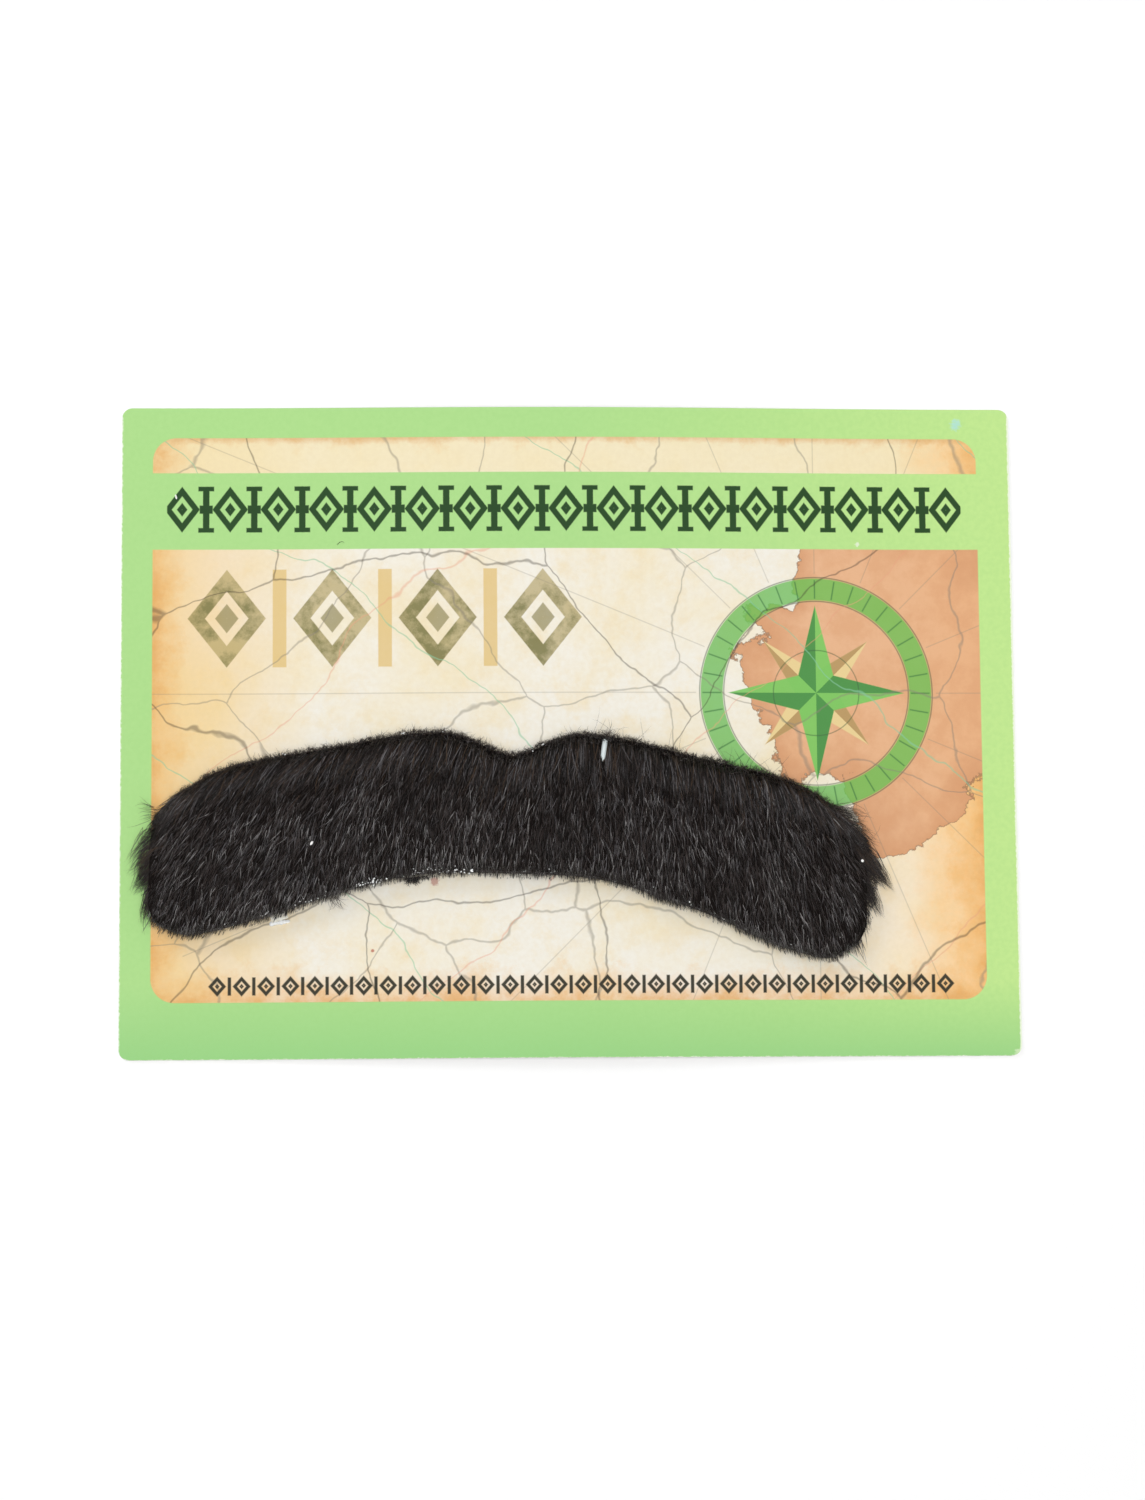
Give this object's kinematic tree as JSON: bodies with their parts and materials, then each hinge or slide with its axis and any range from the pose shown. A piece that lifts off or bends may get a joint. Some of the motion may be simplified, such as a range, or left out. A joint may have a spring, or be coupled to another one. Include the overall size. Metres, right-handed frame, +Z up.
{
  "type": "fake moustache on a card",
  "caption": "Stick-on moustache of dark pile fabric, taped and tag-pinned to a printed backing card that lies flat.",
  "frame": {"origin": "on the surface that the card lies on, under the middle of the card", "axes": "+X along the card's long side to the right as printed, +Y towards the card's top edge, +Z up out of the printed face"},
  "size_m": [0.17, 0.1244, 0.0101],
  "materials": {
    "card": "offset-printed solid board with a low satin varnish, pale green border round cream parchment fields, white worn edges",
    "adhesive_tape": "off-white double-sided cloth tape, dull",
    "fur": "dark brown-black acrylic pile, combed and clipped, soft sheen with grey glints",
    "tag_pin": "clear moulded polypropylene, milky"
  },
  "bodies": {
    "root": {"card": "card", "adhesive_tape": "adhesive_tape", "fur_moustache": "fur", "tag_pin": "tag_pin"}
  },
  "joints": []
}
